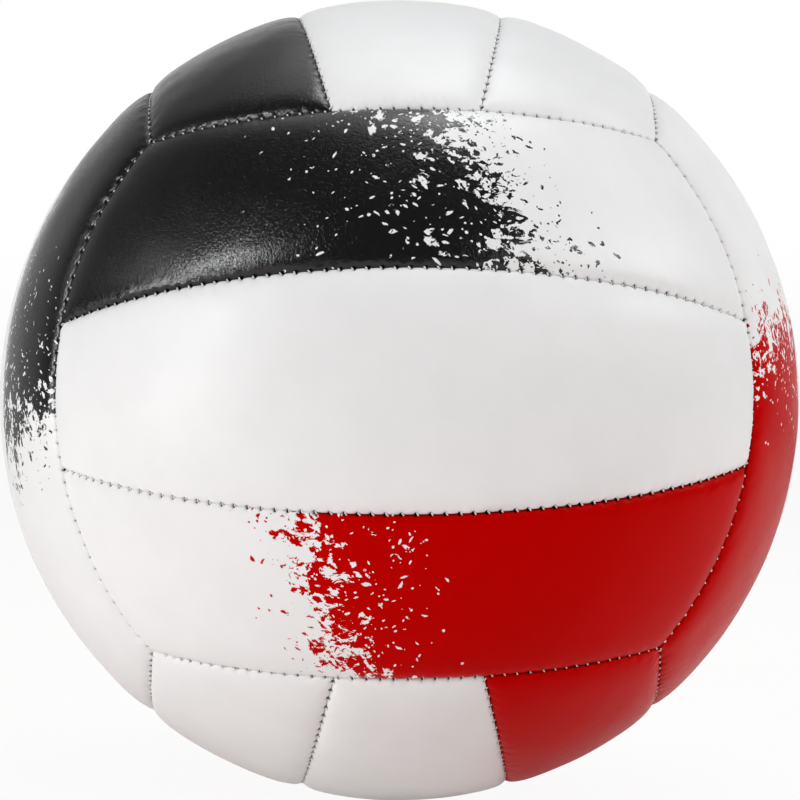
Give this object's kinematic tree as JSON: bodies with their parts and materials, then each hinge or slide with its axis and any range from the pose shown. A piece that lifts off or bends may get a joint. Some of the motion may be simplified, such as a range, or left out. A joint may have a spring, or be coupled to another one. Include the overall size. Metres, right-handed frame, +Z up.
{
  "type": "volleyball",
  "caption": "Inflated indoor volleyball with a stitched cover of padded leather panels over a rubber bladder, and a needle valve flush in the cover.",
  "frame": {"origin": "centre of the ball", "axes": "+Z up, along the short way across the front panels; the front group of panels faces -Y and its panels run along X; +Y leaves the ball through its valve"},
  "size_m": [0.21, 0.2097, 0.21],
  "materials": {
    "white_leather": "fine pebbled satin",
    "black_leather": "fine pebbled satin",
    "red_leather": "fine pebbled satin",
    "foam": "soft closed-cell foam",
    "lining": "plain woven cloth",
    "thread": "waxed twisted thread",
    "bladder_rubber": "matt butyl rubber",
    "valve_rubber": "matt moulded rubber",
    "core_rubber": "soft natural rubber"
  },
  "bodies": {
    "root": {"front_lower_panel": "red_leather", "front_middle_panel": "white_leather", "front_upper_panel": "black_leather", "back_lower_panel": "red_leather", "back_middle_panel": "white_leather", "back_upper_panel": "black_leather", "top_left_panel": "black_leather", "top_middle_panel": "white_leather", "top_right_panel": "white_leather", "bottom_left_panel": "white_leather", "bottom_middle_panel": "white_leather", "bottom_right_panel": "red_leather", "left_front_panel": "black_leather", "left_middle_panel": "white_leather", "left_rear_panel": "red_leather", "right_front_panel": "red_leather", "right_middle_panel": "white_leather", "right_rear_panel": "black_leather", "front_lower_foam": "foam", "front_middle_foam": "foam", "front_upper_foam": "foam", "back_lower_foam": "foam", "back_middle_foam": "foam", "back_upper_foam": "foam", "top_left_foam": "foam", "top_middle_foam": "foam", "top_right_foam": "foam", "bottom_left_foam": "foam", "bottom_middle_foam": "foam", "bottom_right_foam": "foam", "left_front_foam": "foam", "left_middle_foam": "foam", "left_rear_foam": "foam", "right_front_foam": "foam", "right_middle_foam": "foam", "right_rear_foam": "foam", "front_lower_lining": "lining", "front_middle_lining": "lining", "front_upper_lining": "lining", "back_lower_lining": "lining", "back_middle_lining": "lining", "back_upper_lining": "lining", "top_left_lining": "lining", "top_middle_lining": "lining", "top_right_lining": "lining", "bottom_left_lining": "lining", "bottom_middle_lining": "lining", "bottom_right_lining": "lining", "left_front_lining": "lining", "left_middle_lining": "lining", "left_rear_lining": "lining", "right_front_lining": "lining", "right_middle_lining": "lining", "right_rear_lining": "lining", "long_edge_thread": "thread", "strip_seam_thread": "thread", "bladder": "bladder_rubber", "valve_patch": "bladder_rubber", "valve_stem": "valve_rubber", "valve_core": "core_rubber"}
  },
  "joints": []
}
